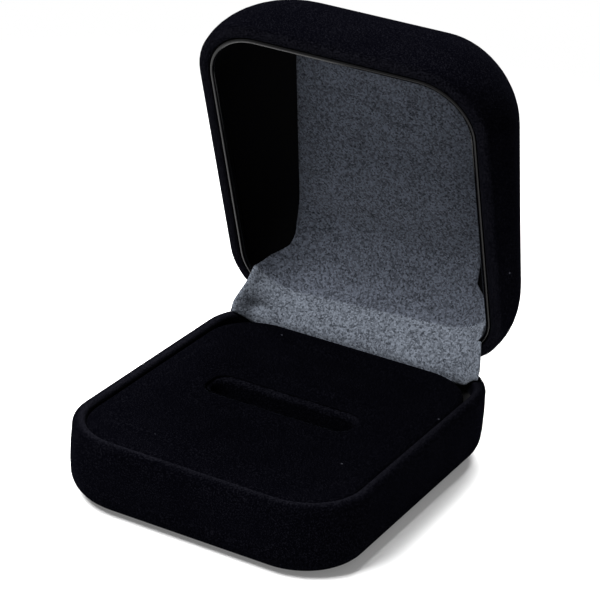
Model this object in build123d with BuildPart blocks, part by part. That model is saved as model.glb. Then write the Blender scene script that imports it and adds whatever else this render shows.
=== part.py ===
"""Small velvet ring box with a snap lid, modelled standing open.

Frame: origin at the centre of the underside, X to the right, Y to the hinge
at the back, Z up. The lid is modelled straight in its open position, on
planes that are tilted back by the opening angle.
"""
from build123d import *
import math
import os

os.makedirs("parts", exist_ok=True)

# ---------------------------------------------------------------- main sizes
box_width = 56.0
box_depth = 66.5
corner_radius = 12.5          # plan radius of the base and of the lid's rim
base_height = 14.0
open_angle = 69.0             # lid's turn from closed to its open stop

# velvet skin, stiff walls and the fold of velvet round each rim
velvet_thickness = 0.5
wall_thickness = 1.3
rim_roll_radius = 1.2         # rounding of the outer edge of both rims
fold_depth = 3.0              # how far the velvet runs down inside a rim
wall_inner_inset = velvet_thickness + wall_thickness
fold_inset = wall_inner_inset + velvet_thickness

# underside
felt_thickness = 0.8
felt_step = 0.3               # felt stands this much below the velvet
felt_inset = 6.8              # felt's edge inside the box's sides
felt_width = box_width - 2 * felt_inset
felt_depth = box_depth - 2 * felt_inset
felt_corner_radius = corner_radius - felt_inset
felt_clearance = 0.1
base_edge_radius = 4.5        # rounding between the base's sides and underside
tray_edge_radius = 4.0

# hinge
rim_gap = 0.4                 # between the two rims when the lid is closed
hinge_inset = 1.2             # axis inside the back face
hinge_y = box_depth / 2 - hinge_inset
hinge_z = base_height + rim_gap + rim_roll_radius
pin_radius = 0.7
pin_clearance = 0.04
knuckle_radius = 1.1
knuckle_clear_radius = 1.45   # free space kept round the knuckles
leaf_width = box_width - 2 * corner_radius    # straight part of the back
pin_length = leaf_width
leaf_thickness = 0.5
leaf_height = 9.0
leaf_face_y = -1.1            # leaf's outer face, measured from the axis
base_knuckle_start = 9.1
base_knuckle_length = leaf_width / 2 - base_knuckle_start
lid_knuckle_start = 4.9
lid_knuckle_length = 3.9
lid_leaf_top_y = -4.2         # lid leaf leans with the curved back wall
lid_leaf_top_z = 6.2
notch_width = leaf_width + 2.0
notch_depth_in = 4.0          # notch reaches this far inside the axis
rivet_x = leaf_width / 2 - 4.0
rivet_shank_radius = 0.8
rivet_head_radius = 1.3
rivet_head_thickness = 0.5
base_rivet_z = -6.6           # below the axis
base_rivet_length = 1.8
lid_rivet_z = 4.0             # above the axis, in the lid
lid_rivet_length = 1.7
lid_notch_height = 6.6        # liner is cut away this far up round the leaf

# snap spring round the pin
spring_wire_radius = 0.22
spring_coil_radius = 1.0
spring_turns = 8
spring_length = 8.4

# pad with its slot
pad_card_thickness = 1.0
pad_side_gap = 0.1            # between the pad and the velvet fold
pad_hinge_gap = 5.0           # between the pad and the hinge axis
pad_width = box_width - 2 * (fold_inset + pad_side_gap)
pad_front_y = fold_inset + pad_side_gap - box_depth / 2
pad_back_y = hinge_y - pad_hinge_gap
pad_corner_radius = corner_radius - fold_inset - pad_side_gap
pad_top_z = base_height - 0.7
pad_velvet_thickness = 0.6
pad_edge_radius = 1.8
slot_y = -0.8
slot_length = 28.0
slot_width = 5.0
slot_floor_z = 4.5
slot_lip_radius = 1.2

# lid
lid_dome_height = 23.0        # above the hinge axis level, in the middle
lid_dome_slope = 0.25         # the dome is deeper towards the front
dome_exponent = 2.1
dome_draft = 0.05
dome_side_bulge = 2.6
dome_bulge_level = 0.85
dome_levels = (0.0, 0.18, 0.36, 0.54, 0.70, 0.83, 0.93, 0.985)
liner_thickness = 0.8
liner_lip_step = 0.4          # liner's edge stands back from the rim
lining_thickness = 0.5
wadding_thickness = 1.5
lid_card_thickness = 1.0
ceiling_depth = 14.0          # face of the lining above the axis level
ceiling_tilt = 10.5
back_lining_half_width = box_width / 2 - 4.0
back_lining_start_y = -15.0
back_lining_low_z = 4.7

# cloth strip over the hinge
cover_half_width = box_width / 2 - 5.5
cover_thickness = 0.5
cover_low_z = base_height - 3.6
cover_bend_z = base_height - 0.4
cover_bend_radius = 1.2
cover_base_y = pad_back_y + 0.35
cover_rim_point = (-2.4, -1.2)     # in the lid, from the axis
cover_top_point = (-4.5, 4.5)

# ------------------------------------------------------------------- planes
hinge_line = Plane(origin=(0, hinge_y, hinge_z), x_dir=(0, 1, 0), z_dir=(1, 0, 0))
swing = math.radians(open_angle)
lid_plane = Plane(
    origin=(0, hinge_y, hinge_z),
    x_dir=(1, 0, 0),
    z_dir=(0, math.sin(swing), math.cos(swing)),
)
lid_side = Plane(origin=lid_plane.origin, x_dir=lid_plane.y_dir, z_dir=(1, 0, 0))
lid_centre_y = -hinge_y


def lid_point(y, z):
    """Row-frame Y and Z of a point of the lid measured from the axis."""
    return (
        hinge_y + y * math.cos(swing) + z * math.sin(swing),
        hinge_z - y * math.sin(swing) + z * math.cos(swing),
    )


def lid_level(z):
    """Plane across the lid, z above the axis level, centred on the lid."""
    return Plane(lid_plane.location * Location((0, lid_centre_y, z)))


# ---------------------------------------------------------- base, all layers
with BuildPart() as base_velvet:
    with BuildSketch(Plane.XY.offset(felt_step)):
        RectangleRounded(box_width, box_depth, corner_radius)
    extrude(amount=base_height - felt_step)
    fillet(base_velvet.faces().sort_by(Axis.Z)[0].edges(), base_edge_radius)
    fillet(base_velvet.faces().sort_by(Axis.Z)[-1].edges(), rim_roll_radius)
    with BuildSketch(Plane.XY.offset(base_height)):
        RectangleRounded(
            box_width - 2 * fold_inset,
            box_depth - 2 * fold_inset,
            corner_radius - fold_inset,
        )
    extrude(amount=-velvet_thickness, mode=Mode.SUBTRACT)
    with BuildSketch(Plane.XY):
        RectangleRounded(felt_width, felt_depth, felt_corner_radius)
    extrude(amount=felt_thickness, mode=Mode.SUBTRACT)

with BuildPart() as base_inside:
    with BuildSketch(Plane.XY.offset(felt_thickness)):
        RectangleRounded(
            box_width - 2 * velvet_thickness,
            box_depth - 2 * velvet_thickness,
            corner_radius - velvet_thickness,
        )
    extrude(amount=base_height - velvet_thickness - felt_thickness)
    fillet(base_inside.faces().sort_by(Axis.Z)[0].edges(), tray_edge_radius)

with BuildPart() as base_fold:
    with BuildSketch(Plane.XY.offset(base_height - velvet_thickness)):
        RectangleRounded(
            box_width - 2 * wall_inner_inset,
            box_depth - 2 * wall_inner_inset,
            corner_radius - wall_inner_inset,
        )
        RectangleRounded(
            box_width - 2 * fold_inset,
            box_depth - 2 * fold_inset,
            corner_radius - fold_inset,
            mode=Mode.SUBTRACT,
        )
    extrude(amount=-fold_depth)

with base_velvet:
    add(base_inside.part, mode=Mode.SUBTRACT)
    add(base_fold.part)

with BuildPart() as base_shell:
    add(base_inside.part)
    with BuildSketch(Plane.XY.offset(felt_thickness + wall_thickness)):
        RectangleRounded(
            box_width - 2 * wall_inner_inset,
            box_depth - 2 * wall_inner_inset,
            corner_radius - wall_inner_inset,
        )
    extrude(amount=base_height, mode=Mode.SUBTRACT)

with BuildPart() as base_underside:
    with BuildSketch(Plane.XY):
        RectangleRounded(
            felt_width - 2 * felt_clearance,
            felt_depth - 2 * felt_clearance,
            felt_corner_radius - felt_clearance,
        )
    extrude(amount=felt_thickness)

# ------------------------------------------------------------------- the pad
tray_floor_z = felt_thickness + wall_thickness
pad_base_z = tray_floor_z + pad_card_thickness
pad_centre_y = (pad_front_y + pad_back_y) / 2
pad_length = pad_back_y - pad_front_y

with BuildPart() as pad_card:
    with BuildSketch(Plane((0, pad_centre_y, tray_floor_z))):
        RectangleRounded(pad_width, pad_length, pad_corner_radius)
    extrude(amount=pad_card_thickness)


def pad_block(skin):
    """The pad drawn in by a skin thickness, with its slot that much wider."""
    with BuildPart() as block:
        with BuildSketch(Plane((0, pad_centre_y, pad_base_z))):
            RectangleRounded(
                pad_width - 2 * skin,
                pad_length - 2 * skin,
                pad_corner_radius - skin,
            )
        extrude(amount=pad_top_z - pad_base_z - skin)
        fillet(block.faces().sort_by(Axis.Z)[-1].edges(), pad_edge_radius - skin)
        with BuildSketch(Plane((0, slot_y, pad_top_z))):
            SlotOverall(slot_length + 2 * skin, slot_width + 2 * skin)
        extrude(amount=slot_floor_z - skin - pad_top_z, mode=Mode.SUBTRACT)
        lip = block.faces().filter_by(Axis.Z).sort_by(Axis.Z)[-1].inner_wires()[0]
        fillet(lip.edges(), slot_lip_radius)
    return block.part


pad_outside = pad_block(0.0)
pad_inside = pad_block(pad_velvet_thickness)

with BuildPart() as pad_foam:
    add(pad_inside)

with BuildPart() as pad_velvet:
    add(pad_outside)
    add(pad_inside, mode=Mode.SUBTRACT)


# ------------------------------------------------------------- lid's domes
def dome_section(level, inset):
    """Width, depth and corner radius of the dome at a level from 0 to 1."""
    rounding = (1 - level**dome_exponent) ** (1 / dome_exponent)
    scale = rounding * (1 - dome_draft * level)
    step = min(level / dome_bulge_level, 1)
    bulge = 4 * step * (1 - step) * dome_side_bulge
    return (
        (box_width - 2 * inset) * scale + 2 * bulge,
        (box_depth - 2 * inset) * scale,
        (corner_radius - inset) * scale + bulge,
    )


def dome_plane(level, inset):
    """Plane of a dome section, leaning so that the dome is deeper in front."""
    height = level * (lid_dome_height - inset)
    lean = math.degrees(math.atan(lid_dome_slope * level))
    return Plane(lid_plane.location * Location((0, lid_centre_y, height), (-lean, 0, 0)))


def dome(inset, rim_step):
    """Solid lid form drawn in by an inset, closed rim_step above the rim."""
    with BuildPart() as form:
        for level in dome_levels:
            with BuildSketch(dome_plane(level, inset)):
                RectangleRounded(*dome_section(level, inset))
        loft()
        with BuildSketch(lid_level(rim_step - rim_roll_radius)):
            RectangleRounded(
                box_width - 2 * inset,
                box_depth - 2 * inset,
                corner_radius - inset,
            )
        extrude(amount=rim_roll_radius - rim_step)
    return form.part


def lid_box(half_width, low_y, high_y, low_z, high_z):
    """Straight block in the lid's own directions, measured from the axis."""
    with BuildPart() as block:
        with BuildSketch(lid_side.offset(-half_width)):
            with Locations(((low_y + high_y) / 2, (low_z + high_z) / 2)):
                Rectangle(high_y - low_y, high_z - low_z)
        extrude(amount=2 * half_width)
    return block.part


knuckle_notch = lid_box(
    notch_width / 2, -notch_depth_in, 3 * hinge_inset, -3 * rim_roll_radius, knuckle_clear_radius
)
leaf_notch = lid_box(
    notch_width / 2, -2 * notch_depth_in, hinge_inset, -3 * rim_roll_radius, lid_notch_height
)
fold_zone = lid_box(
    box_width, -2 * box_depth, 3 * hinge_inset, -2 * rim_roll_radius, fold_depth - rim_roll_radius
)
dome_outside = dome(0.0, 0.0)
dome_under_velvet = dome(velvet_thickness, velvet_thickness)
dome_inside_wall = dome(wall_inner_inset, 0.0)
dome_inside_fold = dome(fold_inset, 0.0)
dome_inside_liner = dome(fold_inset + liner_thickness, 0.0)
dome_inside_lining = dome(fold_inset + liner_thickness + lining_thickness, 0.0)

# ------------------------------------------------------------- hinge rivets


def rivet(plane, x, y, z, lean, length):
    """Rivet whose head lies on a leaf's inner face, turned to square with it."""
    seat = Plane(
        plane.offset(x).location * Location((y, z, 0), (0, 0, lean)) * Location((0, 0, 0), (0, 90, 0))
    )
    with BuildPart() as body:
        with BuildSketch(seat):
            Circle(rivet_head_radius)
        extrude(amount=-rivet_head_thickness)
        with BuildSketch(seat):
            Circle(rivet_shank_radius)
        extrude(amount=length)
    return body.part


leaf_back_y = leaf_face_y - leaf_thickness
lid_leaf_run = leaf_face_y - lid_leaf_top_y
lid_leaf_rise = lid_leaf_top_z - knuckle_clear_radius
lid_leaf_lean = math.degrees(math.atan(lid_leaf_run / lid_leaf_rise))
lid_rivet_y = leaf_back_y - (lid_rivet_z - knuckle_clear_radius) * lid_leaf_run / lid_leaf_rise

with BuildPart() as base_rivet_left:
    add(rivet(hinge_line, -rivet_x, leaf_back_y, base_rivet_z, 0, base_rivet_length))
with BuildPart() as base_rivet_right:
    add(rivet(hinge_line, rivet_x, leaf_back_y, base_rivet_z, 0, base_rivet_length))
with BuildPart() as lid_rivet_left:
    add(rivet(lid_side, -rivet_x, lid_rivet_y, lid_rivet_z, lid_leaf_lean, lid_rivet_length))
with BuildPart() as lid_rivet_right:
    add(rivet(lid_side, rivet_x, lid_rivet_y, lid_rivet_z, lid_leaf_lean, lid_rivet_length))

base_rivets = [base_rivet_left.part, base_rivet_right.part]
lid_rivets = [lid_rivet_left.part, lid_rivet_right.part]

with base_shell:
    add(base_rivets, mode=Mode.SUBTRACT)

# ------------------------------------------------------------- hinge leaves
with BuildPart() as base_hinge_leaf:
    with BuildSketch(hinge_line):
        with Locations((leaf_back_y + leaf_thickness / 2, -(knuckle_clear_radius + leaf_height) / 2)):
            Rectangle(leaf_thickness, leaf_height - knuckle_clear_radius)
    extrude(amount=leaf_width / 2, both=True)
    for start in (base_knuckle_start, -base_knuckle_start - base_knuckle_length):
        with BuildSketch(hinge_line.offset(start)):
            Circle(knuckle_radius)
            Polygon(
                (leaf_back_y, -2 * knuckle_radius),
                (leaf_face_y, -2 * knuckle_radius),
                (leaf_face_y, -pin_radius),
                (0, -pin_radius),
                (0, pin_radius / 2),
                (leaf_back_y, pin_radius / 2),
                align=None,
            )
        extrude(amount=base_knuckle_length)
    with BuildSketch(hinge_line.offset(-leaf_width / 2)):
        Circle(pin_radius + pin_clearance)
    extrude(amount=leaf_width, mode=Mode.SUBTRACT)
    add(base_rivets, mode=Mode.SUBTRACT)

with BuildPart() as lid_hinge_leaf:
    with BuildSketch(lid_side):
        Polygon(
            (leaf_face_y, knuckle_clear_radius),
            (lid_leaf_top_y, lid_leaf_top_z),
            (lid_leaf_top_y - leaf_thickness, lid_leaf_top_z),
            (leaf_back_y, knuckle_clear_radius),
            align=None,
        )
    extrude(amount=leaf_width / 2, both=True)
    for start in (lid_knuckle_start, -lid_knuckle_start - lid_knuckle_length):
        with BuildSketch(lid_side.offset(start)):
            Circle(knuckle_radius)
            Polygon(
                (leaf_back_y, 2 * knuckle_radius),
                (leaf_face_y - leaf_thickness / 4, 2 * knuckle_radius),
                (leaf_face_y, pin_radius),
                (0, pin_radius),
                (0, -pin_radius / 2),
                (leaf_back_y, -pin_radius / 2),
                align=None,
            )
        extrude(amount=lid_knuckle_length)
    with BuildSketch(lid_side.offset(-leaf_width / 2)):
        Circle(pin_radius + pin_clearance)
    extrude(amount=leaf_width, mode=Mode.SUBTRACT)
    add(lid_rivets, mode=Mode.SUBTRACT)

# ------------------------------------------------------- lid, outside layers
with BuildPart() as fold_ring:
    add(dome_inside_wall)
    add(dome_inside_fold, mode=Mode.SUBTRACT)
    add(fold_zone, mode=Mode.INTERSECT)

with BuildPart() as lid_velvet:
    add(dome_outside)
    roll = lid_velvet.faces().filter_by(lid_plane).sort_by(SortBy.AREA)[-1]
    fillet(roll.outer_wire().edges(), rim_roll_radius * 0.99)
    add(dome_under_velvet, mode=Mode.SUBTRACT)
    add(dome_inside_fold, mode=Mode.SUBTRACT)
    add(fold_ring.part)
    add(knuckle_notch, mode=Mode.SUBTRACT)
    add(lid_hinge_leaf.part, mode=Mode.SUBTRACT)

with BuildPart() as lid_shell:
    add(dome_under_velvet)
    add(dome_inside_wall, mode=Mode.SUBTRACT)
    add(knuckle_notch, mode=Mode.SUBTRACT)
    add(lid_hinge_leaf.part, mode=Mode.SUBTRACT)
    add(lid_rivets, mode=Mode.SUBTRACT)

# -------------------------------------------------------- lid, inside layers
with BuildPart() as lid_liner:
    add(dome(fold_inset, liner_lip_step))
    add(dome_inside_liner, mode=Mode.SUBTRACT)
    add(leaf_notch, mode=Mode.SUBTRACT)

ceiling_plane = Plane(
    lid_plane.location * Location((0, lid_centre_y, ceiling_depth), (-ceiling_tilt, 0, 0))
)


def ceiling_layer(low, thickness):
    """Slice of the liner's inside, low above the face of the lining."""
    with BuildPart() as layer:
        add(dome_inside_liner)
        with BuildSketch(ceiling_plane.offset(low)):
            Rectangle(2 * box_width, 2 * box_depth)
        extrude(amount=thickness, mode=Mode.INTERSECT)
    return layer.part


back_zone = lid_box(
    back_lining_half_width, back_lining_start_y, hinge_inset, back_lining_low_z, ceiling_depth
)
with BuildPart() as under_ceiling:
    with BuildSketch(ceiling_plane.offset(lining_thickness / 2)):
        Rectangle(2 * box_width, 2 * box_depth)
    extrude(amount=-box_depth)

with BuildPart() as back_lining:
    add(dome_inside_liner)
    add(dome_inside_lining, mode=Mode.SUBTRACT)
    add(back_zone, mode=Mode.INTERSECT)
    add(under_ceiling.part, mode=Mode.INTERSECT)

with BuildPart() as lid_lining:
    add(ceiling_layer(0.0, lining_thickness))
    add(back_lining.part)
    add(lid_rivets, mode=Mode.SUBTRACT)

with BuildPart() as lid_wadding:
    add(ceiling_layer(lining_thickness, wadding_thickness))

with BuildPart() as lid_card:
    add(ceiling_layer(lining_thickness + wadding_thickness, lid_card_thickness))

# --------------------------------------------------------- pin and spring
with BuildPart() as hinge_pin:
    with BuildSketch(hinge_line.offset(-pin_length / 2)):
        Circle(pin_radius)
    extrude(amount=pin_length)

# the coil starts on the lid's side and ends on the base's side
coil = Plane(
    origin=(-spring_length / 2, hinge_y, hinge_z),
    x_dir=-lid_plane.y_dir,
    z_dir=(1, 0, 0),
).location * Helix(
    pitch=spring_length / (spring_turns + open_angle / 360),
    height=spring_length,
    radius=spring_coil_radius,
)

with BuildPart() as hinge_spring:
    with BuildSketch(Plane(origin=coil @ 0, z_dir=coil % 0)):
        Circle(spring_wire_radius)
    sweep(path=coil.edge(), is_frenet=True)
    with BuildSketch(Plane(origin=coil @ 0, z_dir=lid_plane.z_dir)):
        Circle(spring_wire_radius)
    extrude(amount=knuckle_clear_radius)
    with BuildSketch(Plane(origin=coil @ 1, z_dir=(0, 0, -1))):
        Circle(spring_wire_radius)
    extrude(amount=knuckle_clear_radius)

# ------------------------------------------------------- cloth over the hinge
with BuildPart() as cloth_strip:
    with BuildSketch(Plane.YZ.offset(-cover_half_width)):
        with BuildLine():
            FilletPolyline(
                (cover_base_y, cover_low_z),
                (cover_base_y, cover_bend_z),
                lid_point(*cover_rim_point),
                lid_point(*cover_top_point),
                radius=cover_bend_radius,
            )
        trace(line_width=cover_thickness)
    extrude(amount=2 * cover_half_width)
    add(base_velvet.part, mode=Mode.SUBTRACT)
    add(lid_velvet.part, mode=Mode.SUBTRACT)
    add(lid_shell.part, mode=Mode.SUBTRACT)
    add(lid_liner.part, mode=Mode.SUBTRACT)

# the strip is trimmed to the rounded corners, offcuts are dropped
with BuildPart() as hinge_cover:
    add(cloth_strip.solids().sort_by(SortBy.VOLUME)[-1])

# -------------------------------------------------------------------- export
base_shell.part.label = "base_shell"
base_velvet.part.label = "base_velvet"
base_underside.part.label = "base_underside"
pad_card.part.label = "pad_card"
pad_foam.part.label = "pad_foam"
pad_velvet.part.label = "pad_velvet"
base_hinge_leaf.part.label = "base_hinge_leaf"
base_rivet_left.part.label = "base_rivet_left"
base_rivet_right.part.label = "base_rivet_right"
hinge_pin.part.label = "hinge_pin"
hinge_spring.part.label = "hinge_spring"
hinge_cover.part.label = "hinge_cover"
lid_shell.part.label = "lid_shell"
lid_velvet.part.label = "lid_velvet"
lid_liner.part.label = "lid_liner"
lid_card.part.label = "lid_card"
lid_wadding.part.label = "lid_wadding"
lid_lining.part.label = "lid_lining"
lid_hinge_leaf.part.label = "lid_hinge_leaf"
lid_rivet_left.part.label = "lid_rivet_left"
lid_rivet_right.part.label = "lid_rivet_right"

export_step(base_shell.part, "parts/base_shell.step")
export_step(base_velvet.part, "parts/base_velvet.step")
export_step(base_underside.part, "parts/base_underside.step")
export_step(pad_card.part, "parts/pad_card.step")
export_step(pad_foam.part, "parts/pad_foam.step")
export_step(pad_velvet.part, "parts/pad_velvet.step")
export_step(base_hinge_leaf.part, "parts/base_hinge_leaf.step")
export_step(base_rivet_left.part, "parts/base_rivet_left.step")
export_step(base_rivet_right.part, "parts/base_rivet_right.step")
export_step(hinge_pin.part, "parts/hinge_pin.step")
export_step(hinge_spring.part, "parts/hinge_spring.step")
export_step(hinge_cover.part, "parts/hinge_cover.step")
export_step(lid_shell.part, "parts/lid_shell.step")
export_step(lid_velvet.part, "parts/lid_velvet.step")
export_step(lid_liner.part, "parts/lid_liner.step")
export_step(lid_card.part, "parts/lid_card.step")
export_step(lid_wadding.part, "parts/lid_wadding.step")
export_step(lid_lining.part, "parts/lid_lining.step")
export_step(lid_hinge_leaf.part, "parts/lid_hinge_leaf.step")
export_step(lid_rivet_left.part, "parts/lid_rivet_left.step")
export_step(lid_rivet_right.part, "parts/lid_rivet_right.step")
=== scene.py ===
"""Dresses the frame of a small velvet ring box and sets the studio round it."""

import math

import bpy
import numpy as np
from bpy.props import FloatProperty, PointerProperty, StringProperty
from mathutils import Matrix, Vector


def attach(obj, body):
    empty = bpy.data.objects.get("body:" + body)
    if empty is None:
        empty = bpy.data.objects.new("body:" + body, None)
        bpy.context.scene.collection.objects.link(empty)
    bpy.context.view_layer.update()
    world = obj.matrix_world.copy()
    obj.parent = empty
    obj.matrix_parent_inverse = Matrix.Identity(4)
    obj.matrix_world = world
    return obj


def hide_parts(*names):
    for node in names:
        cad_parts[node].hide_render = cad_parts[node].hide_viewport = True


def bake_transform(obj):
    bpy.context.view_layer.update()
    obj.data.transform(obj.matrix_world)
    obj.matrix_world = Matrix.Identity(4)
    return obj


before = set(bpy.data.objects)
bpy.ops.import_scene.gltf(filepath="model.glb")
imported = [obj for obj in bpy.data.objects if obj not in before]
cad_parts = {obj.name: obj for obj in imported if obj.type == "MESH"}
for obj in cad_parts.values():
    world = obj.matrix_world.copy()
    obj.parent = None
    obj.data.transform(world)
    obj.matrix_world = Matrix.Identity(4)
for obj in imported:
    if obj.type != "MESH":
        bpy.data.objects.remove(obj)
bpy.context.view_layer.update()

bl_info = {
    "name": "Velvet Ring Box",
    "version": (1, 0, 0),
    "blender": (4, 5, 0),
    "location": "View3D > Sidebar > Ring Box",
    "description": "Velvet, lining, pad and studio for a small ring box with a snap lid",
    "category": "Object",
}

MM = 0.001

# sizes that several pieces share, in millimetres
RIM_GAP = 0.4  # between the two rims when the lid is shut
RIM_FOLD = 0.8  # rounding of the rims' inner edge
RIM_BED = 0.6  # from a rim's face to the back of its velvet
LINER_WALL = 0.8
LINING_OFF_WALL = 0.45  # from the liner's back wall to the face of the lining
CEILING_HALF_WIDTH = 18.85  # of the lining over the lid's ceiling
CLOTH = 0.3  # thickness of the grey cloth

# the dome's curve
DOME_POWER = 2.1  # 2 is a quarter of an ellipse, more is squarer
DOME_DRAFT = 0.05  # share of its half size that the dome loses towards its top
BULGE_TOP = 0.85  # level where the bulge of the sides ends

# steps along a side and round a corner of every loop
SIDE_STEPS, CORNER_STEPS = 22, 14


# ------------------------------------------------------------------ settings
class RingBoxSizes(bpy.types.PropertyGroup):
    """Sizes of the dressed pieces, in millimetres."""

    width: FloatProperty(name="Width", description="Box width at the rims, mm", default=56.0)
    depth: FloatProperty(name="Depth", description="Box depth at the rims, mm", default=66.5)
    corner: FloatProperty(name="Corner", description="Plan radius of the corners, mm", default=12.5)
    base_height: FloatProperty(name="Base height", description="Height of the base's rim, mm", default=14.0)
    dome_height: FloatProperty(name="Dome height", description="Dome above the hinge axis, mm", default=23.0)
    dome_slope: FloatProperty(name="Dome slope", description="Rise to the front, mm per mm", default=0.25)
    dome_bulge: FloatProperty(name="Side bulge", description="Swell of the lid's sides, mm", default=2.6)
    velvet: FloatProperty(name="Velvet", description="Thickness of the velvet skin, mm", default=0.5)
    rim: FloatProperty(name="Rim", description="Width of the velvet-covered rims, mm", default=2.3)
    rim_roll: FloatProperty(name="Rim roll", description="Rounding of the rims' outer edge, mm", default=1.2)
    open_angle: FloatProperty(
        name="Open angle", description="Lid's angle from closed", default=math.radians(69.0), subtype="ANGLE"
    )
    slot_length: FloatProperty(name="Slot length", description="Length of the pad's slot, mm", default=28.0)
    slot_width: FloatProperty(name="Slot width", description="Width of the pad's slot, mm", default=5.0)
    crown: FloatProperty(name="Pad crown", description="Rise of the pad's top, mm", default=0.35)


class RingBoxColours(bpy.types.PropertyGroup):
    """Colours as sRGB hex."""

    velvet_dark: StringProperty(name="Velvet", description="Colour deep in the pile", default="#020204")
    # lighter tufts at random, and the painted sheen along the rims and the slot's lip
    velvet_tips_and_painted_sheen: StringProperty(name="Velvet tips", description="Opened pile", default="#131318")
    velvet_sheen: StringProperty(name="Velvet sheen", description="Tint of its sheen", default="#9fa3bd")
    lint: StringProperty(name="Lint", description="Colour of stray fibres", default="#3c3d44")
    lining_dark: StringProperty(name="Lining shade", description="Darker fibres", default="#131519")
    lining_light: StringProperty(name="Lining light", description="Lighter fibres", default="#565b66")
    # painted light: a paler copy of the lining's colours for the hinge cloth from its crease down, where the
    # lamps light it
    painted_lit_lining_dark: StringProperty(name="Nap shade", description="Darker fibres at the hinge", default="#1c1f25")
    painted_lit_lining_light: StringProperty(name="Nap light", description="Lighter fibres at the hinge", default="#6d737d")
    liner: StringProperty(name="Liner", description="Gloss black moulding", default="#030304")
    plastic: StringProperty(name="Shells", description="Matt black moulding", default="#151517")
    steel: StringProperty(name="Hinge steel", description="Nickel-plated steel", default="#c9c8c4")
    card: StringProperty(name="Board", description="Grey board", default="#8d877c")
    foam: StringProperty(name="Foam", description="Charcoal foam", default="#3b3b3f")
    felt: StringProperty(name="Felt", description="Black felt under the base", default="#1a1a1d")
    floor: StringProperty(name="Floor", description="Studio floor", default="#fbfbfb")


def sizes():
    return bpy.context.scene.ring_box_sizes


def colours():
    return bpy.context.scene.ring_box_colours


def linear(text):
    """sRGB hex to linear RGBA: c/12.92 below 0.04045, else ((c + 0.055)/1.055)^2.4."""
    c = np.array([int(text[i : i + 2], 16) for i in (1, 3, 5)]) / 255
    c = np.where(c <= 0.04045, c / 12.92, ((c + 0.055) / 1.055) ** 2.4)
    return (*map(float, c), 1.0)


# ---------------------------------------------------------------- mesh tools
def loop_base():
    """Sign of the corner centre in x and y and the angle, for one turn of a
    rounded rectangle: along a corner the angle sweeps a quarter turn, along a
    side the centre slides to the next corner."""
    signs = np.array([[1, 1], [-1, 1], [-1, -1], [1, -1]], float)
    quarter = np.linspace(0, math.pi / 2, CORNER_STEPS + 1)
    slide = np.linspace(0, 1, SIDE_STEPS + 1)[1:-1, None]
    centre, angle = [], []
    for k in range(4):
        here, there = signs[k], signs[(k + 1) % 4]
        centre += [np.repeat(here[None], CORNER_STEPS + 1, 0), here + (there - here) * slide]
        angle += [quarter + k * math.pi / 2, np.full(SIDE_STEPS - 1, (k + 1) * math.pi / 2)]
    return np.concatenate(centre), np.concatenate(angle)


def loops(half_w, half_d, radius):
    """Rounded rectangles, one per row: centre sign * (half size - radius) plus
    radius * (cos, sin) of the angle. A side always keeps a little length."""
    sign, angle = loop_base()
    half_w, half_d = np.atleast_1d(half_w)[:, None], np.atleast_1d(half_d)[:, None]
    radius = np.minimum(np.atleast_1d(radius)[:, None], 0.98 * np.minimum(half_w, half_d))
    x = sign[:, 0] * (half_w - radius) + radius * np.cos(angle)
    y = sign[:, 1] * (half_d - radius) + radius * np.sin(angle)
    return x, y


def resample(points, count):
    """A profile through the given points at equal steps of length."""
    p = np.asarray(points, float)
    s = np.concatenate([[0], np.cumsum(np.hypot(*np.diff(p, axis=0).T))])
    t = np.linspace(0, s[-1], count)
    return np.column_stack([np.interp(t, s, p[:, k]) for k in range(p.shape[1])])


def arc(cx, cy, rx, ry, start, end, count):
    """Points of an ellipse's arc, angles in degrees."""
    a = np.radians(np.linspace(start, end, count))
    return np.column_stack([cx + rx * np.cos(a), cy + ry * np.sin(a)])


def ease(t):
    """Smooth step from 0 to 1: t^2 (3 - 2t)."""
    t = np.clip(t, 0, 1)
    return t * t * (3 - 2 * t)


def bend_curve(start, corner, end, t):
    """Quadratic curve: (1 - t)^2 start + 2t(1 - t) corner + t^2 end."""
    return (1 - t) ** 2 * start + 2 * t * (1 - t) * corner + t**2 * end


def span_curve(start, leaving, end, arriving, t):
    """Cubic from start to end that leaves and arrives in given directions:
    (2t^3 - 3t^2 + 1) start + (t^3 - 2t^2 + t) leaving + (3t^2 - 2t^3) end
    + (t^3 - t^2) arriving."""
    from_start, from_end = 2 * t**3 - 3 * t**2 + 1, -2 * t**3 + 3 * t**2
    return from_start * start + (t**3 - 2 * t**2 + t) * leaving + from_end * end + (t**3 - t**2) * arriving


def grid_faces(rows, cols, wrap_rows, wrap_cols):
    """Quads between neighbouring rows and columns of a grid."""
    row = np.arange(rows if wrap_rows else rows - 1)[:, None]
    col = np.arange(cols if wrap_cols else cols - 1)[None, :]
    next_row, next_col = (row + 1) % rows, (col + 1) % cols
    quads = [row * cols + col, row * cols + next_col, next_row * cols + next_col, next_row * cols + col]
    return np.stack([np.broadcast_to(q, (row.size, col.size)).ravel() for q in quads], 1)


def make_mesh(name, points, faces, finish, smooth=True):
    """A mesh object from vertices in millimetres and a list of face arrays."""
    mesh = bpy.data.meshes.new(name)
    mesh.from_pydata((np.asarray(points) * MM).tolist(), [], [f for a in faces for f in a.tolist()])
    mesh.polygons.foreach_set("use_smooth", np.full(len(mesh.polygons), smooth))
    mesh.materials.append(finish)
    mesh.update()
    obj = bpy.data.objects.new(name, mesh)
    bpy.context.scene.collection.objects.link(obj)
    return obj


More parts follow.
